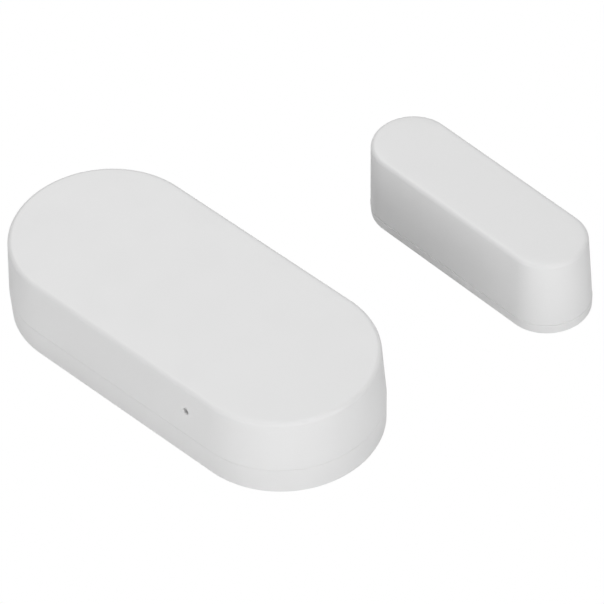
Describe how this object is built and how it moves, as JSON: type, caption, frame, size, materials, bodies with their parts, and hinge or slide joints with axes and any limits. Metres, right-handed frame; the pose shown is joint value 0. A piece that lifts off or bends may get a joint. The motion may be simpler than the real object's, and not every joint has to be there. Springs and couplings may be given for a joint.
{
  "type": "door contact sensor",
  "caption": "Wireless door contact sensor: a pill-shaped battery unit with a reed switch and a setup pinhole, and a narrow pill-shaped magnet unit beside it.",
  "frame": {"origin": "middle of the sensor unit's adhesive pad, on the face that sticks to the door frame", "axes": "+X along the sensor unit's long axis towards the circuit board end, +Y towards the magnet unit, +Z out of the mounting surface towards the covers"},
  "size_m": [0.0759, 0.0723, 0.0152],
  "materials": {
    "case_plastic": "fine satin moulded surface, white",
    "tray_plastic": "satin moulded surface, black",
    "foam_tape": "matt closed-cell foam with a smooth adhesive face",
    "cell_wrap": "glossy shrink wrap over a steel can",
    "spring_steel": "nickel plated, lightly drawn",
    "screw_steel": "zinc plated",
    "board_laminate": "green solder mask over glass laminate",
    "radio_laminate": "dark blue solder mask over glass laminate",
    "shield_steel": "tin plated sheet",
    "aerial_copper": "gold plated copper trace",
    "chip_black": "moulded epoxy",
    "pale_plastic": "translucent pale resin",
    "ceramic_tan": "fired ceramic",
    "capacitor_can": "drawn can",
    "reed_glass": "clear greenish glass",
    "magnet_nickel": "nickel plated"
  },
  "bodies": {
    "sensor_unit": {"sensor_base": "case_plastic", "sensor_adhesive_pad": "foam_tape", "battery_tray": "tray_plastic", "battery_1": "cell_wrap", "battery_2": "cell_wrap", "contact_link": "spring_steel", "contact_positive": "spring_steel", "contact_negative": "spring_steel", "spring_1": "spring_steel", "spring_2": "spring_steel", "circuit_board": "board_laminate", "board_screw_1": "screw_steel", "board_screw_2": "screw_steel", "radio_board": "radio_laminate", "radio_shield": "shield_steel", "radio_antenna": "aerial_copper", "reed_glass": "reed_glass", "reed_lead_a": "spring_steel", "reed_lead_b": "spring_steel", "setup_switch_body": "chip_black", "status_led": "pale_plastic", "bulk_capacitor": "capacitor_can", "voltage_regulator": "chip_black", "resistor_1": "chip_black", "resistor_2": "chip_black", "resistor_3": "chip_black", "ceramic_capacitor_1": "ceramic_tan", "ceramic_capacitor_2": "ceramic_tan"},
    "sensor_cover": {"sensor_cover": "case_plastic"},
    "setup_button": {"setup_switch_plunger": "pale_plastic"},
    "magnet_unit": {"magnet_base": "case_plastic", "magnet_adhesive_pad": "foam_tape", "magnet_bar": "magnet_nickel"},
    "magnet_cover": {"magnet_cover": "case_plastic"}
  },
  "joints": [
    {"name": "cover_lift", "type": "slide", "parent": "sensor_unit", "child": "sensor_cover", "axis": [0, 0, 1], "range_m": [0, 0.03]},
    {"name": "setup_button_press", "type": "slide", "parent": "sensor_unit", "child": "setup_button", "axis": [0, 1, 0], "range_m": [0, 0.00025], "stiffness_N_per_m": 400},
    {"name": "door_slide", "type": "slide", "parent": "sensor_unit", "child": "magnet_unit", "axis": [0, 1, 0], "range_m": [-0.018, 0.04]},
    {"name": "magnet_cover_lift", "type": "slide", "parent": "magnet_unit", "child": "magnet_cover", "axis": [0, 0, 1], "range_m": [0, 0.02]}
  ]
}
